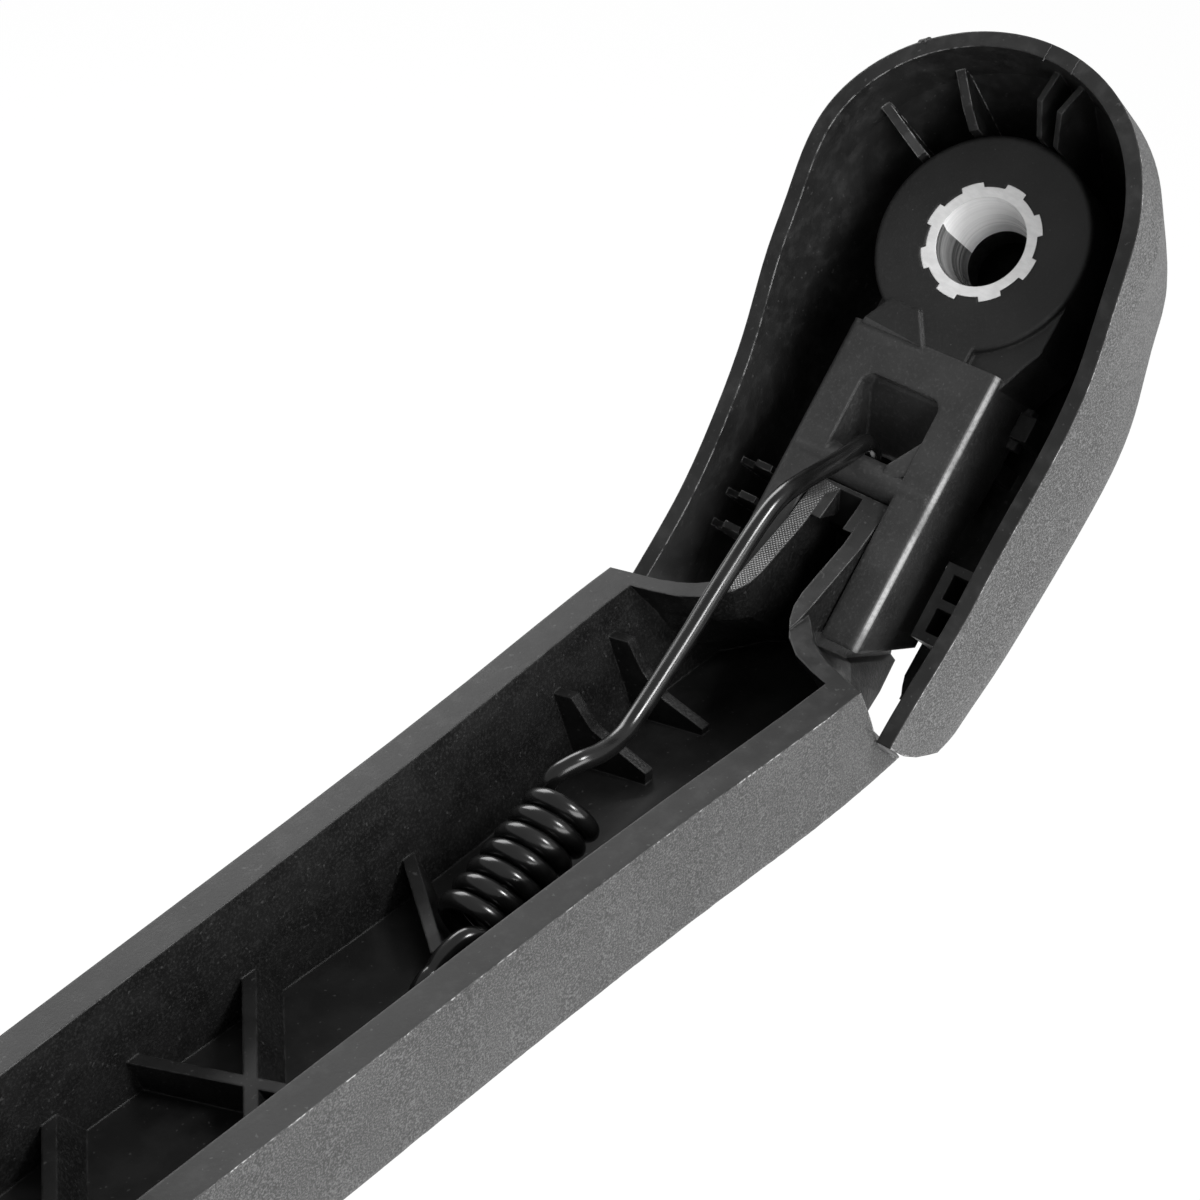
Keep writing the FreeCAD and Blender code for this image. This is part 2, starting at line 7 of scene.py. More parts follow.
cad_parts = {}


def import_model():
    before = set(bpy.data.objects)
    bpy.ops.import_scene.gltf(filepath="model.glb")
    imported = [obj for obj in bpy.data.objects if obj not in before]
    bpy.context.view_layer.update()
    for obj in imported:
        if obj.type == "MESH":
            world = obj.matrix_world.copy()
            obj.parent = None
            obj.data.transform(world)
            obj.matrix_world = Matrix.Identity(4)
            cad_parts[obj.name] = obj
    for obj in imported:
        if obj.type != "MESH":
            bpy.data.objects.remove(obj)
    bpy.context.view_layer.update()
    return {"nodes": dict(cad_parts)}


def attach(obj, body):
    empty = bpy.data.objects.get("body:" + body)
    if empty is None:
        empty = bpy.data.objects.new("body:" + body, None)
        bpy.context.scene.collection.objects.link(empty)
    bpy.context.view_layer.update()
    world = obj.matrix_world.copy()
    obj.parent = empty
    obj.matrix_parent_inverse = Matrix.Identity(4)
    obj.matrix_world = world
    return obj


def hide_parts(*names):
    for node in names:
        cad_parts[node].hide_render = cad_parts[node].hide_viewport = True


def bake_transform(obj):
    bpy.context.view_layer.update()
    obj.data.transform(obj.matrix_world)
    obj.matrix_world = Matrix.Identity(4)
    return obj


# Looks of a folded rear wiper arm. The object's own lengths are millimetres, as in the part's source.
# The lengths of Blender's settings, such as light places, bump depths and edge radii, are metres.
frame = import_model()

MM_IN_M = 1000

# Fold between head and arm, the head's own directions, and the hinge
FOLD = math.radians(44.08)
LIFT = math.radians(80)
HINGE = Vector((31.8766, 0.0, -25.3007))
HEAD_L = Vector((math.cos(FOLD), 0, -math.sin(FOLD)))
HEAD_N = Vector((math.sin(FOLD), 0, math.cos(FOLD)))
ACROSS = Vector((0, 1, 0))
BOSS_H = 11.0


def head_point(l, t, n):
    return (HEAD_L * l + Vector((0, t, 0)) + HEAD_N * (n + BOSS_H)) / MM_IN_M


def arm_point(x, t, z):
    return (HINGE + Vector((x, t, z))) / MM_IN_M


def grey(value):
    return (value, value, value, 1)


# One material's node tree, with short names for the nodes that the materials share
class Tree:
    def __init__(self, name):
        self.material = bpy.data.materials.new(name)
        self.material.use_nodes = True
        self.nodes = self.material.node_tree.nodes
        self.links = self.material.node_tree.links
        self.shader = self.nodes["Principled BSDF"]
        self.coords = self.nodes.new("ShaderNodeTexCoord").outputs["Object"]
        self.rounded = None

    def link(self, value, socket):
        if isinstance(value, bpy.types.NodeSocket):
            self.links.new(value, socket)
        else:
            socket.default_value = value

    def stretched(self, scale):
        node = self.nodes.new("ShaderNodeMapping")
        node.inputs["Scale"].default_value = scale
        self.links.new(self.coords, node.inputs["Vector"])
        return node.outputs["Vector"]

    def noise(self, scale, detail=3.0, rough=0.5, where=None):
        node = self.nodes.new("ShaderNodeTexNoise")
        node.inputs["Scale"].default_value = scale
        node.inputs["Detail"].default_value = detail
        node.inputs["Roughness"].default_value = rough
        self.links.new(where or self.coords, node.inputs["Vector"])
        return node.outputs["Fac"]

    def cells(self, scale):
        node = self.nodes.new("ShaderNodeTexVoronoi")
        node.inputs["Scale"].default_value = scale
        self.links.new(self.coords, node.inputs["Vector"])
        return node.outputs["Distance"]

    def dot(self, vector, direction):
        node = self.nodes.new("ShaderNodeVectorMath")
        node.operation = "DOT_PRODUCT"
        self.links.new(vector, node.inputs[0])
        self.link(direction, node.inputs[1])
        return node.outputs["Value"]

    def bands(self, scale, direction):
        node = self.nodes.new("ShaderNodeTexNoise")
        node.noise_dimensions = "1D"
        node.inputs["Scale"].default_value = scale
        self.links.new(self.dot(self.coords, direction), node.inputs["W"])
        return node.outputs["Fac"]

    def ramp(self, value, low, high, out_low=0.0, out_high=1.0):
        node = self.nodes.new("ShaderNodeMapRange")
        node.interpolation_type = "SMOOTHSTEP"
        node.inputs["From Min"].default_value = low
        node.inputs["From Max"].default_value = high
        node.inputs["To Min"].default_value = out_low
        node.inputs["To Max"].default_value = out_high
        self.links.new(value, node.inputs["Value"])
        return node.outputs["Result"]

    def math(self, kind, a, b=0.0, c=0.0):
        node = self.nodes.new("ShaderNodeMath")
        node.operation = kind
        for value, socket in zip((a, b, c), node.inputs):
            self.link(value, socket)
        return node.outputs["Value"]

    def times(self, a, b):
        return self.math("MULTIPLY", a, b)

    def axis(self, name):
        split = self.nodes.new("ShaderNodeSeparateXYZ")
        self.links.new(self.coords, split.inputs[0])
        return split.outputs[name]

    def waves(self, name, pitch):
        return self.math("SINE", self.times(self.axis(name), 2 * math.pi / pitch))

    def mix(self, factor, a, b):
        node = self.nodes.new("ShaderNodeMix")
        node.data_type = "RGBA"
        self.link(factor, node.inputs["Factor"])
        self.link(a, node.inputs["A"])
        self.link(b, node.inputs["B"])
        return node.outputs["Result"]

    def between(self, factor, low, high):
        return self.mix(factor, grey(low), grey(high))

    def over(self, tone, factor, value):
        return self.mix(factor, tone, grey(value))

    def bump(self, height, strength, depth, normal=None):
        node = self.nodes.new("ShaderNodeBump")
        node.inputs["Strength"].default_value = strength
        node.inputs["Distance"].default_value = depth
        self.links.new(height, node.inputs["Height"])
        if normal is not None:
            self.links.new(normal, node.inputs["Normal"])
        return node.outputs["Normal"]

    def edge(self, radius):
        if self.rounded is None:
            node = self.nodes.new("ShaderNodeBevel")
            node.samples = 4
            node.inputs["Radius"].default_value = radius
            self.rounded = node.outputs["Normal"]
        return self.rounded

    def facing(self, direction):
        place = self.nodes.new("ShaderNodeNewGeometry")
        return self.dot(place.outputs["True Normal"], direction)

    def edge_band(self, radius, low=0.03, high=0.3):
        return self.ramp(self.math("SUBTRACT", 1.0, self.facing(self.edge(radius))), low, high)

    # Painted edge highlight: the edge band broken into patches by noise.
    def broken_edge_highlight(self, radius):
        return self.times(self.edge_band(radius), self.ramp(self.noise(700, 3, 0.6), 0.38, 0.56))

    def dust(self):
        return self.ramp(self.noise(1900, 1), 0.70, 0.76)

    def finish(self, colour, rough, normal, specular=0.5, metal=0.0):
        self.link(colour, self.shader.inputs["Base Color"])
        self.link(rough, self.shader.inputs["Roughness"])
        self.link(normal, self.shader.inputs["Normal"])
        self.shader.inputs["Specular IOR Level"].default_value = specular
        self.shader.inputs["Metallic"].default_value = metal
        return self.material


# Materials. Noise scales count cells in a metre, and low and high are the range of the base tone.
NYLON_EDGE = 0.0006
GRAIN_EDGE = 0.0004
SATIN_EDGE = 0.0003
INSERT_EDGE = 0.0002
KNURL_PITCH = 0.00042
RIGHT_EDGE = (HEAD_N + ACROSS).normalized()
LEFT_EDGE_Y = (-0.010, -0.006)


# Painted highlight along the frame's right rounded edge, where its normal faces up and across, broken
# up by noise.
def painted_prong_highlight(m, sand):
    highlight_band = m.ramp(m.facing(RIGHT_EDGE), 0.91, 1.0)
    uneven = m.ramp(m.noise(130, 2), 0.35, 0.6, 0.35, 1.0)
    broken = m.times(uneven, m.ramp(sand, 0.3, 0.6, 0.6, 1.0))
    return m.times(m.times(highlight_band, highlight_band), broken)


def nylon_material(name, low, high, edge_highlight_tone, streak=0.0):
    m = Tree(name)
    sand = m.noise(2600, 3, 0.6)
    blotch = m.noise(150, 3, 0.55)
    specks = m.ramp(m.cells(1500), 0.0, 0.16, 1.0, 0.0)
    rare = m.ramp(m.noise(900, 2), 0.60, 0.68)
    tone = m.between(m.ramp(blotch, 0.3, 0.7), low, high)
    tone = m.over(tone, m.ramp(sand, 0.5, 0.8, 0.0, 0.5), high * 2.2)
    tone = m.over(tone, m.times(specks, rare), 0.09)
    patchy = m.ramp(sand, 0.35, 0.65, 0.2, 1.0)
    # Edges painted lighter in patches: painted edge highlight.
    tone = m.over(tone, m.times(m.edge_band(NYLON_EDGE), patchy), edge_highlight_tone)
    # streak is the tone of the painted highlight on the right rounded edge.
    if streak:
        tone = m.over(tone, painted_prong_highlight(m, sand), streak)
    normal = m.bump(sand, 0.4, 0.00007, m.edge(NYLON_EDGE))
    return m.finish(tone, m.ramp(sand, 0.3, 0.7, 0.38, 0.54), normal, 0.4)


def grained_material(name, low, high):
    m = Tree(name)
    fine = m.noise(5000, 2, 0.5)
    coarse = m.noise(2300, 3, 0.6)
    cloud = m.noise(60, 3, 0.5)
    tone = m.between(m.ramp(cloud, 0.35, 0.65), low, high)
    tone = m.over(tone, m.ramp(fine, 0.36, 0.52, 0.7, 0.0), low * 0.4)
    tone = m.over(tone, m.ramp(fine, 0.50, 0.66, 0.0, 0.7), high * 2.1)
    # Painted edge highlight along the outside's edges, broken into patches.
    edge_highlight_patches = m.times(m.ramp(m.noise(420, 2), 0.45, 0.6), m.ramp(coarse, 0.42, 0.55))
    tone = m.over(tone, m.times(m.edge_band(GRAIN_EDGE, 0.005, 0.06), edge_highlight_patches), 0.55)
    height = m.math("MULTIPLY_ADD", fine, 0.6, m.times(coarse, 0.5))
    normal = m.bump(height, 0.6, 0.00010, m.edge(GRAIN_EDGE))
    return m.finish(tone, m.ramp(coarse, 0.3, 0.7, 0.55, 0.65), normal, 0.3)


def satin_material(name, low, high, rough, edge_highlight_tone=0.10, left_edge=False):
    m = Tree(name)
    streak = m.noise(420, 4, 0.6)
    fine = m.noise(2400, 3, 0.6)
    cloud = m.noise(90, 4, 0.6)
    tone = m.between(m.ramp(cloud, 0.3, 0.7), low, high)
    tone = m.over(tone, m.ramp(streak, 0.45, 0.75, 0.0, 0.5), high * 2.0)
    tone = m.over(tone, m.times(m.dust(), 0.3), 0.10)
    # Painted edge highlight along the edges, broken into patches; with left_edge it is painted full
    # on the left side and faint on the right.
    broken_edge_highlight = m.broken_edge_highlight(SATIN_EDGE)
    if left_edge:
        broken_edge_highlight = m.times(broken_edge_highlight, m.ramp(m.axis("Y"), *LEFT_EDGE_Y, 1.0, 0.15))
    tone = m.over(tone, broken_edge_highlight, edge_highlight_tone)
    height = m.math("MULTIPLY_ADD", streak, 0.7, m.times(fine, 0.6))
    normal = m.bump(height, 0.28, 0.00006, m.edge(SATIN_EDGE))
    return m.finish(tone, m.ramp(streak, 0.3, 0.7, rough - 0.06, rough + 0.08), normal, 0.28)


def channel_material(name, low, high):
    m = Tree(name)
    wall = m.ramp(m.math("ABSOLUTE", m.facing(ACROSS)), 0.15, 0.55)
    pits = m.noise(3000, 3, 0.65)
    patch = m.noise(240, 3, 0.6)
    brushed = m.noise(420, 4, 0.6, m.stretched((0.15, 1, 1)))
    tone = m.between(m.ramp(patch, 0.35, 0.65), low, high)
    tone = m.over(tone, m.times(wall, m.ramp(pits, 0.46, 0.68, 0.0, 0.6)), high * 2.6)
    tone = m.over(tone, m.times(m.dust(), 0.25), 0.10)
    # A faint painted edge highlight along the channel's edges.
    tone = m.over(tone, m.broken_edge_highlight(SATIN_EDGE), 0.04)
    height = m.math("MULTIPLY_ADD", m.times(wall, pits), 1.6, m.times(brushed, 0.4))
    normal = m.bump(height, 0.45, 0.00008, m.edge(SATIN_EDGE))
    return m.finish(tone, m.ramp(brushed, 0.3, 0.7, 0.32, 0.46), normal, 0.22)


def knurled_material():
    m = Tree("arm knurl")
    diamonds = m.times(m.waves("X", KNURL_PITCH), m.waves("Y", KNURL_PITCH))
    patch = m.ramp(m.noise(300, 3, 0.6), 0.35, 0.6)
    # The knurl's diamond peaks are painted lighter, in patches: painted highlights on the knurl.
    tone = m.between(m.ramp(diamonds, 0.0, 0.9), 0.02, 0.16)
    tone = m.mix(patch, grey(0.02), tone)
    normal = m.bump(diamonds, 0.5, 0.00006, m.edge(GRAIN_EDGE))
    return m.finish(tone, m.ramp(diamonds, -0.5, 0.8, 0.34, 0.2), normal, 0.6)


def insert_material():
    m = Tree("insert aluminium")
    sawn = m.noise(1500, 3, 0.6, m.stretched((1, 0.4, 1)))
    fine = m.noise(3000, 3, 0.6)
    tone = m.between(m.ramp(sawn, 0.3, 0.7), 0.70, 0.80)
    tone = m.over(tone, m.times(m.edge_band(INSERT_EDGE), 0.6), 0.35)
    normal = m.bump(fine, 0.2, 0.00004, m.edge(INSERT_EDGE))
    return m.finish(tone, m.ramp(sawn, 0.3, 0.7, 0.38, 0.52), normal, 0.5, 0.25)


def bore_material():
    m = Tree("insert bore")
    cloud = m.noise(160, 3, 0.6)
    rings = m.bands(2600, HEAD_N)
    wide = m.bands(500, HEAD_N)
    # Painted light and shade in the cone: the side facing along the head gets a painted highlight,
    # the rest painted shade, with turned rings in both.
    lit_side = m.math("MULTIPLY_ADD", cloud, 0.10, m.facing(HEAD_L))
    turned = m.ramp(m.math("MULTIPLY_ADD", rings, 0.4, wide), 0.45, 0.95)
    shade = m.between(turned, 0.05, 0.30)
    light = m.between(m.ramp(rings, 0.3, 0.7), 0.90, 1.0)
    tone = m.mix(m.ramp(lit_side, 0.06, 0.10), shade, light)
    normal = m.bump(rings, 0.05, 0.00003)
    return m.finish(tone, m.ramp(wide, 0.3, 0.7, 0.24, 0.34), normal, 0.8)


# The hole past the cone is painted near-black: painted shade deep in the hole.
def hole_material():
    m = Tree("insert hole")
    rough_cut = m.noise(1500, 2, 0.5)
    tone = m.between(m.ramp(rough_cut, 0.3, 0.7), 0.02, 0.05)
    return m.finish(tone, 0.4, m.bump(rough_cut, 0.15, 0.00004), 0.4, 0.6)


def wire_material():
    m = Tree("spring wire")
    drawn = m.noise(300, 2, 0.5)
    fine = m.noise(3500, 2, 0.6)
    tone = m.between(m.ramp(drawn, 0.35, 0.7), 0.003, 0.006)
    normal = m.bump(fine, 0.02, 0.000004)
    return m.finish(tone, m.ramp(drawn, 0.3, 0.7, 0.20, 0.25), normal)


def pin_material():
    m = Tree("pin steel")
    ground = m.noise(900, 3, 0.5, m.stretched((4, 0.4, 4)))
    tone = m.between(m.ramp(ground, 0.3, 0.7), 0.40, 0.55)
    normal = m.bump(ground, 0.15, 0.00003)
    return m.finish(tone, m.ramp(ground, 0.3, 0.7, 0.2, 0.34), normal, 0.5, 1.0)


# Which faces of a moulding are its outside, its rim and its inside
INSIDE, OUTSIDE, RIM, KNURL = 0, 1, 2, 3
UPWARD = 0.7
HALF_WALL = 0.9

# The cap's half width along the head, and the lean and rounded corner of its wall
CAP_RIM_W = [(0, 21.08), (5, 21.26), (10, 21.44), (15, 21.19), (20, 20.67), (25, 20.11),
             (30, 19.67), (35, 19.41), (40, 19.29), (45, 19.23), (50, 19.22), (58, 19.30)]
CAP_NOSE_R = 21.08
CAP_FLOOR_N = -19.0
CAP_FLOOR_RISE = 0.05
CAP_LEAN_TOP = 2.0
CAP_LEAN = (3.72, -14.89, 10.98)
CAP_LEAN_REACH = 50.0
CAP_NOSE_LEAN = 2.49
CAP_CORNER = 3.5
CAP_CORNER_POWER = 6
CAP_RIM_BAND = 3.2
OUT_SHARE = 0.6
UP_SHARE = 0.4
OUT_LEAST = 0.12

# The arm's half width along the arm, and the bands in which its outside and rim lie
ARM_W = [(-14, 16.6), (5, 16.79), (10, 16.96), (15, 17.05), (20, 17.03), (30, 16.61),
         (40, 15.99), (50, 15.46), (60, 15.04), (70, 14.71), (80, 14.45), (90, 14.23),
         (100, 14.03), (110, 13.81), (150, 12.5), (200, 10.5), (250, 8.6), (262, 8.2)]
ARM_TIP = 262.0
ARM_BACK = -11.4
ARM_SIDE_BAND = 0.7
ARM_BACK_BAND = 1.8
ARM_BACK_START = 4
ARM_TIP_BAND = 1.0
SIDEWAYS = 0.6
AWAY_LEAST = 0.3
ARM_RIM_BAND = 6.0
ARM_RIM_Z = 3.0
RIM_FALL_START = 100.0
RIM_FALL = 0.05
SHOULDER_END = 20
KNURL_X = (-2.5, 14.0)
KNURL_T = (-5.0, -2.5)
KNURL_Z = 4.3
KNURL_UPWARD = 0.4

# Where the head's block starts, past which its nylon is painted lighter as painted light, and where
# the insert's cone ends, past which its hole is painted near-black as painted shade
BLOCK_START = 13.0
BORE_CONE_N = -7.5
NYLON_BOSS, NYLON_BLOCK = 0, 1
INSERT_BODY, INSERT_BORE, INSERT_HOLE = 0, 1, 2


def table(rows, x):
    for (x0, y0), (x1, y1) in zip(rows, rows[1:]):
        if x <= x1:
            return y0 + (y1 - y0) * (x - x0) / (x1 - x0)
    return rows[-1][1]


def in_head(place):
    p = place * MM_IN_M - HEAD_N * BOSS_H
    return p.dot(HEAD_L), p.y, p.dot(HEAD_N)


def cap_floor(l):
    return CAP_FLOOR_N + CAP_FLOOR_RISE * l


def cap_lean(l):
    if l < 0:
        return CAP_LEAN[0] + CAP_NOSE_LEAN * min(-l / CAP_NOSE_R, 1.0)
    near = min(l, CAP_LEAN_REACH) / CAP_LEAN_REACH
    return CAP_LEAN[0] + CAP_LEAN[1] * near + CAP_LEAN[2] * near ** 2


def cap_reach(l, n):
    u = min(max((CAP_LEAN_TOP - n) / (CAP_LEAN_TOP - cap_floor(l)), 0.0), 1.0)
    width = table(CAP_RIM_W, l) if l > 0 else CAP_NOSE_R
    corner = CAP_CORNER * (1 - math.sqrt(max(0.0, 1 - u ** CAP_CORNER_POWER)))
    return width - cap_lean(l) * u - corner


def cap_side(face):
    l, t, n = in_head(face.center)
    if l > 0:
        away = ACROSS * math.copysign(1, t)
        radial = abs(t)
    else:
        away = (HEAD_L * l + ACROSS * t).normalized()
        radial = math.hypot(l, t)
    facing = face.normal.dot(HEAD_N)
    if facing > UPWARD and radial > cap_reach(l, n) - CAP_RIM_BAND:
        return RIM
    at_skin = radial > cap_reach(l, n) - HALF_WALL or n < cap_floor(l) + HALF_WALL
    if at_skin and face.normal.dot(away) * OUT_SHARE - facing * UP_SHARE > OUT_LEAST:
        return OUTSIDE
    return INSIDE


def arm_outside(x, t, z, width, normal):
    if abs(t) > width - ARM_SIDE_BAND and normal.y * t > 0 and abs(normal.y) > SIDEWAYS:
        return True
    if z < ARM_BACK + ARM_BACK_BAND and normal.z < -AWAY_LEAST and x > ARM_BACK_START:
        return True
    return x > ARM_TIP - ARM_TIP_BAND and normal.x > AWAY_LEAST


def on_knurl(x, t, z, normal):
    inside_x = KNURL_X[0] < x < KNURL_X[1]
    inside_t = KNURL_T[0] < t < KNURL_T[1]
    return inside_x and inside_t and z > KNURL_Z and normal.z > KNURL_UPWARD


def on_arm_rim(x, t, z, width, normal):
    near_edge = abs(t) > width - ARM_RIM_BAND or x < SHOULDER_END
    fall = max(x - RIM_FALL_START, 0.0) * RIM_FALL
    return normal.z > UPWARD and near_edge and z > ARM_RIM_Z - fall


def arm_side(face):
    x, t, z = face.center * MM_IN_M - HINGE
    width = table(ARM_W, x)
    if arm_outside(x, t, z, width, face.normal):
        return OUTSIDE
    if on_knurl(x, t, z, face.normal):
        return KNURL
    if on_arm_rim(x, t, z, width, face.normal):
        return RIM
    return INSIDE


def head_side(face):
    return NYLON_BLOCK if in_head(face.center)[0] > BLOCK_START else NYLON_BOSS


def insert_side(face):
    l, t, n = in_head(face.center)
    if face.normal.dot((HEAD_L * l + ACROSS * t).normalized()) >= -AWAY_LEAST:
        return INSERT_BODY
    return INSERT_BORE if n > BORE_CONE_N else INSERT_HOLE


def dress(node, materials, side_of=None):
    mesh = frame["nodes"][node].data
    mesh.materials.clear()
    for material in materials:
        mesh.materials.append(material)
    for face in mesh.polygons:
        face.material_index = side_of(face) if side_of else 0


# Shapes that are swept from one ring of points to the next
def skin(made, rings):
    for one, two in zip(rings, rings[1:]):
        for k in range(len(one)):
            after = (k + 1) % len(one)
            made.faces.new((one[k], one[after], two[after], two[k]))
    made.faces.new(list(reversed(rings[0])))
    made.faces.new(rings[-1])
    bmesh.ops.recalc_face_normals(made, faces=made.faces)


def shown(name, made, material):
    mesh = bpy.data.meshes.new(name)
    made.to_mesh(mesh)
    made.free()
    mesh.materials.append(material)
    obj = bpy.data.objects.new(name, mesh)
    bpy.context.scene.collection.objects.link(obj)
    return obj


# Spring, drawn along the same line as the solid one. Its points are (x, t, z) from the hinge.
WIRE_R = 1.075
WIRE_GAP = 0.08
WIRE_SIDES = 20
STEPS_BETWEEN = 5
BAR_IN_ARM = (-4.7153, 11.8116)
BAR_R = 2.1
BAR_T = -1.5
BAR_TURN = (230, 205, 180, 155, 130, 108)
LEG = [(-1.6, -1.5, 15.05), (5.6, -1.5, 15.8), (9.8, -1.4, 15.9), (13.7, -1.2, 14.7),
       (20.6, -0.6, 11.4), (28.6, 0.3, 7.7), (37.4, 1.3, 4.1), (41.0, 1.8, 3.6),
       (44.4, 2.1, 4.1), (47.2, 1.6, 4.5), (49.3, 0.5, 3.5)]
COIL_START = (50.0, 3.0, 1.4)
COIL_SLOPE = math.radians(-20.8)
COIL_R = 3.2
COIL_PITCH = 2.29
COIL_POINTS = 91
POINTS_A_TURN = 12
LEAD_OUT = [(66.6, 6.0, -3.3), (68.5, 5.2, -2.3), (70.9, 4.7, -3.1)]
PEG = (72.3, -7.2)
PEG_R = 1.8
PEG_T = 4.6
PEG_TURN = (86, 64, 42, 20, -2, -20)


def hook_points(centre, radius, t, angles):
    points = []
    for angle in angles:
        a = math.radians(angle)
        points.append((centre[0] + radius * math.cos(a), t, centre[1] + radius * math.sin(a)))
    return points


def coil_points():
    x0, t0, z0 = COIL_START
    points = []
    for i in range(COIL_POINTS):
        s = COIL_PITCH * i / POINTS_A_TURN
        a = math.radians(-90 - 360 / POINTS_A_TURN * i)
        high = COIL_R * math.cos(a)
        x = x0 + math.cos(COIL_SLOPE) * s - math.sin(COIL_SLOPE) * high
        z = z0 + math.sin(COIL_SLOPE) * s + math.cos(COIL_SLOPE) * high
        points.append((x, t0 + COIL_R * math.sin(a), z))
    return points


def spring_line():
    gap = WIRE_R + WIRE_GAP
    line = hook_points(BAR_IN_ARM, BAR_R + gap, BAR_T, BAR_TURN)
    line += LEG + coil_points() + LEAD_OUT
    return line + hook_points(PEG, PEG_R + gap, PEG_T, PEG_TURN)


def smooth_line(points):
    made = []
    padded = [points[0]] + points + [points[-1]]
    for i in range(1, len(padded) - 2):
        p0, p1, p2, p3 = (Vector(p) for p in padded[i - 1:i + 3])
        for k in range(STEPS_BETWEEN):
            u = k / STEPS_BETWEEN
            a = p1 * 2
            b = (p2 - p0) * u
            c = (p0 * 2 - p1 * 5 + p2 * 4 - p3) * u * u
            d = (p1 * 3 - p0 - p2 * 3 + p3) * u ** 3
            made.append((a + b + c + d) / 2)
    made.append(Vector(points[-1]))
    return made


def wire_rings(made, points):
    side = Vector((0, 1, 0.1)).normalized()
    rings = []
    for i, p in enumerate(points):
        ahead = points[min(i + 1, len(points) - 1)] - points[max(i - 1, 0)]
        ahead.normalize()
        side = (side - ahead * side.dot(ahead)).normalized()
        other = ahead.cross(side)
        ring = []
        for k in range(WIRE_SIDES):
            a = 2 * math.pi * k / WIRE_SIDES
            out = (side * math.cos(a) + other * math.sin(a)) * WIRE_R
            ring.append(made.verts.new((p + out) / MM_IN_M))
        rings.append(ring)
    return rings


def spring():
    made = bmesh.new()
    skin(made, wire_rings(made, [HINGE + p for p in smooth_line(spring_line())]))
    for face in made.faces:
        face.smooth = len(face.verts) == 4
    obj = shown("spring_wire", made, wire_material())
    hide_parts("tension_spring")
    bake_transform(obj)


# Moulding marks on the cap's rim
RIM_HEIGHT = [(-24, 8.6), (-21, 8.99), (-15, 9.58), (-10, 9.71), (-5, 9.27), (0, 8.09)]
NUB_TURN = math.radians(-141.5)
NUB_R = 21.0
NUB_N = 8.75
NUB_HALF = (0.95, 0.62, 0.75)
LINE_STEPS = 8
LINE_PROFILE = [(-0.09, -0.05), (-0.03, 0.05), (0.03, 0.05), (0.09, -0.05)]
LINE_WANDER = 0.05
LINE_TURN = 2.1


def cap_mark(name, made, material):
    obj = shown(name, made, material)
    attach(obj, "head")


def gate_nub(material):
    made = bmesh.new()
    bmesh.ops.create_icosphere(made, subdivisions=3, radius=1.0)
    along = Vector((-math.sin(NUB_TURN), math.cos(NUB_TURN)))
    out = Vector((math.cos(NUB_TURN), math.sin(NUB_TURN)))
    for v in made.verts:
        x, y, z = v.co
        lump = 1 + 0.16 * math.sin(5 * x + 2) * math.cos(4 * y) + 0.10 * math.sin(9 * z + 3 * x)
        a = x * NUB_HALF[0] * lump
        b = y * NUB_HALF[1] * lump
        l = out.x * (NUB_R + b) + along.x * a
        t = out.y * (NUB_R + b) + along.y * a
        v.co = head_point(l, t, NUB_N + NUB_HALF[2] * z * lump)
    for face in made.faces:
        face.smooth = True
    cap_mark("gate_nub", made, material)


def rim_line(name, t, l0, l1, material):
    made = bmesh.new()
    rows = []
    for i in range(LINE_STEPS + 1):
        l = l0 + (l1 - l0) * i / LINE_STEPS
        middle = t + LINE_WANDER * math.sin(LINE_TURN * i)
        high = table(RIM_HEIGHT, l)
        rows.append([made.verts.new(head_point(l, middle + a, high + b)) for a, b in LINE_PROFILE])
    skin(made, rows)
    cap_mark(name, made, material)


# Camera at the photograph's place, and how near and far it sees
LENS = 88.101
SENSOR_W = 36.0
EYE = Vector((0.2548375, 0.1468277, 0.1727984))
EYE_RIGHT = Vector((-0.637226, 0.770579, 0.012310))
EYE_UP = Vector((-0.459374, -0.392605, 0.796767))
SEEN_FROM = 0.02
SEEN_TO = 20

# Lights as name, place, size and watts, all aimed at one point on the arm, in a white room
AIM = arm_point(30, 0, 5)
LIGHTS = [("side", (0.22, 0.72, 0.26), (0.9, 0.4), 6.5),
          ("upper", (-0.13, 0.48, 0.64), (0.2, 0.2), 5),
          ("left", (-0.26, -0.62, 0.36), (0.5, 0.4), 3.6)]
ROOM_LIGHT = 0.5

# The floor lies below the arm's lowest point over its whole travel
FLOOR_DROP = 4.0
FLOOR_REACH = 10.0
FLOOR_TONE = 0.85
FLOOR_WHITE = 0.9


def camera():
    data = bpy.data.cameras.new("camera")
    data.lens = LENS
    data.sensor_width = SENSOR_W
    data.clip_start = SEEN_FROM
    data.clip_end = SEEN_TO
    obj = bpy.data.objects.new("camera", data)
    turn = Matrix((EYE_RIGHT, EYE_UP, EYE_RIGHT.cross(EYE_UP))).transposed().to_4x4()
    obj.matrix_world = Matrix.Translation(EYE) @ turn
    bpy.context.scene.collection.objects.link(obj)
    bpy.context.scene.camera = obj


def area(name, place, size, watts):
    data = bpy.data.lights.new(name, "AREA")
    data.shape = "RECTANGLE"
    data.size, data.size_y = size
    data.energy = watts
    obj = bpy.data.objects.new(name, data)
    obj.location = place
    obj.rotation_mode = "QUATERNION"
    obj.rotation_quaternion = (AIM - Vector(place)).to_track_quat("-Z", "Y")
    bpy.context.scene.collection.objects.link(obj)


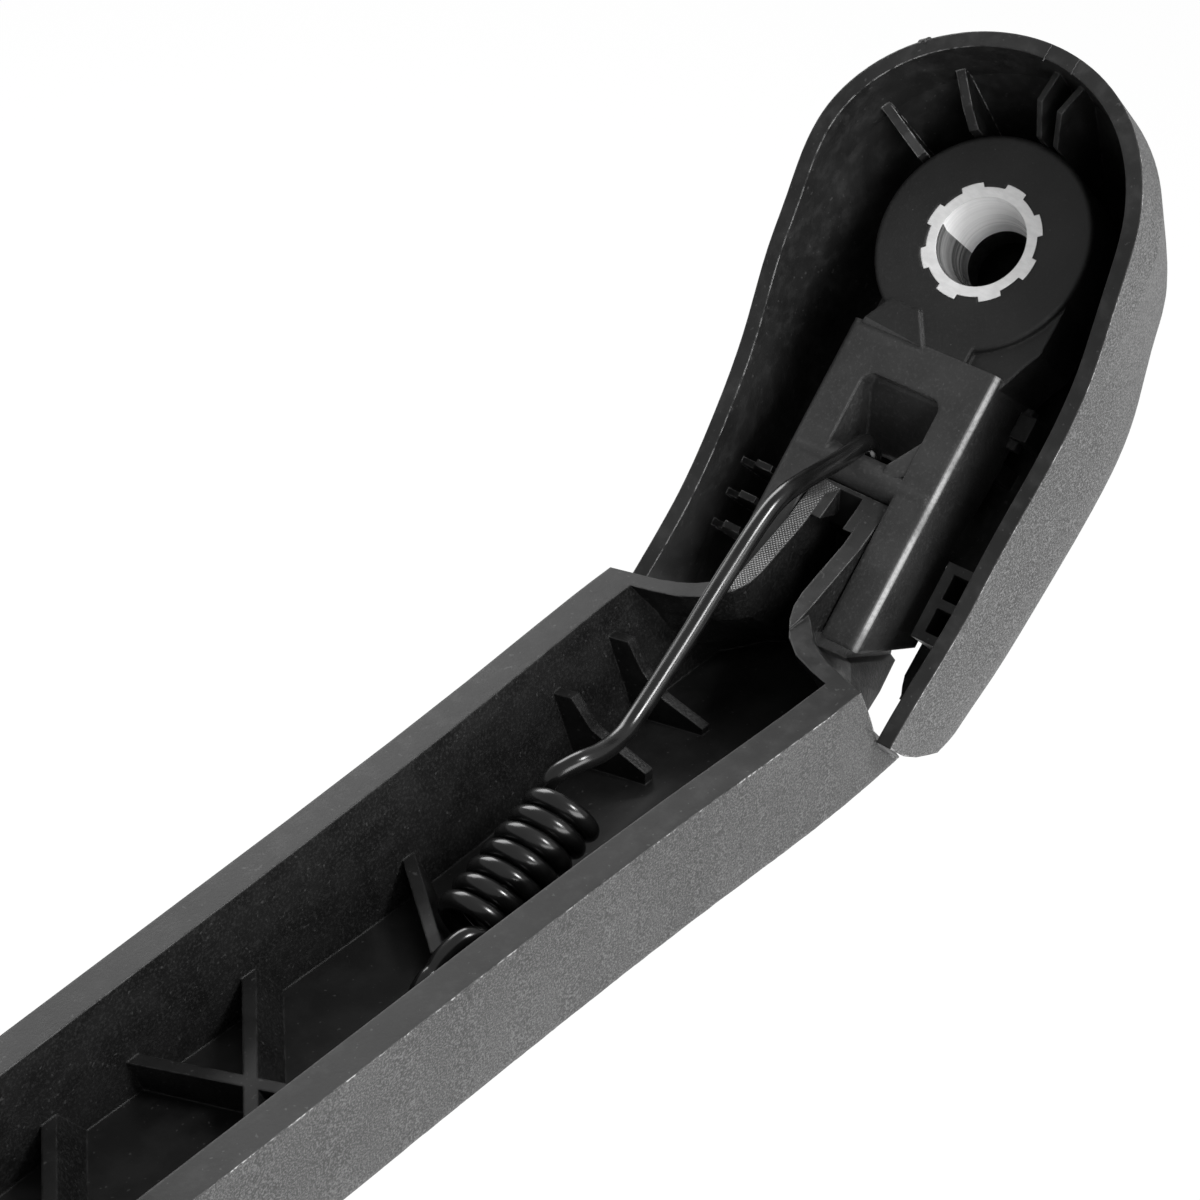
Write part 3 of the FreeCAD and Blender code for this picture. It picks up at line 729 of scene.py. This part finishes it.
def world():
    made = bpy.data.worlds.new("white room")
    bpy.context.scene.world = made
    made.use_nodes = True
    nodes, links = made.node_tree.nodes, made.node_tree.links
    nodes.clear()
    out = nodes.new("ShaderNodeOutputWorld")
    mix = nodes.new("ShaderNodeMixShader")
    path = nodes.new("ShaderNodeLightPath")
    links.new(path.outputs["Is Camera Ray"], mix.inputs["Fac"])
    for strength, socket in ((ROOM_LIGHT, mix.inputs[1]), (1.0, mix.inputs[2])):
        room = nodes.new("ShaderNodeBackground")
        room.inputs["Color"].default_value = grey(1)
        room.inputs["Strength"].default_value = strength
        links.new(room.outputs["Background"], socket)
    links.new(mix.outputs["Shader"], out.inputs["Surface"])


def floor_material():
    made = bpy.data.materials.new("floor")
    made.use_nodes = True
    nodes, links = made.node_tree.nodes, made.node_tree.links
    nodes.clear()
    out = nodes.new("ShaderNodeOutputMaterial")
    mix = nodes.new("ShaderNodeMixShader")
    path = nodes.new("ShaderNodeLightPath")
    seen = nodes.new("ShaderNodeMath")
    seen.operation = "MULTIPLY"
    seen.inputs[1].default_value = FLOOR_WHITE
    plain = nodes.new("ShaderNodeBsdfDiffuse")
    plain.inputs["Color"].default_value = grey(FLOOR_TONE)
    glow = nodes.new("ShaderNodeEmission")
    glow.inputs["Strength"].default_value = 1.0
    links.new(path.outputs["Is Camera Ray"], seen.inputs[0])
    links.new(seen.outputs["Value"], mix.inputs["Fac"])
    links.new(plain.outputs["BSDF"], mix.inputs[1])
    links.new(glow.outputs["Emission"], mix.inputs[2])
    links.new(mix.outputs["Shader"], out.inputs["Surface"])
    return made


def floor():
    low = (HINGE.z - ARM_TIP * math.sin(LIFT) - FLOOR_DROP) / MM_IN_M
    r = FLOOR_REACH
    mesh = bpy.data.meshes.new("floor")
    mesh.from_pydata([(-r, -r, low), (r, -r, low), (r, r, low), (-r, r, low)], [], [(0, 1, 2, 3)])
    obj = bpy.data.objects.new("floor", mesh)
    bpy.context.scene.collection.objects.link(obj)
    mesh.materials.append(floor_material())


def dress_head():
    # The boss and the frame block are one nylon; the block's lighter tone is painted light.
    boss = nylon_material("boss nylon", 0.007, 0.011, 0.03)
    block = nylon_material("frame nylon", 0.019, 0.030, 0.06, 0.36)
    dress("head", [boss, block], head_side)
    dress("spindle_insert", [insert_material(), bore_material(), hole_material()], insert_side)


def dress_arm():
    inside = channel_material("arm inside", 0.005, 0.009)
    outside = grained_material("arm outside", 0.051, 0.065)
    rim = satin_material("arm rim", 0.014, 0.021, 0.42)
    dress("arm", [inside, outside, rim, knurled_material()], arm_side)
    dress("blade_pin", [pin_material()])
    spring()


def dress_cap():
    rim = satin_material("cap rim", 0.011, 0.018, 0.42, 0.30, left_edge=True)
    scuffed = satin_material("cap scuffed", 0.05, 0.09, 0.5)
    inside = satin_material("cap inside", 0.009, 0.018, 0.42, 0.45, left_edge=True)
    outside = grained_material("cap outside", 0.065, 0.083)
    dress("cap", [inside, outside, rim], cap_side)
    gate_nub(rim)
    rim_line("rim_line_left", 1.05, -18.9, -21.0, scuffed)
    rim_line("rim_line_right", 4.85, -18.5, -20.5, scuffed)


camera()
world()
floor()
for light in LIGHTS:
    area(*light)
bpy.context.scene.view_settings.view_transform = "Standard"
dress_head()
dress_arm()
dress_cap()
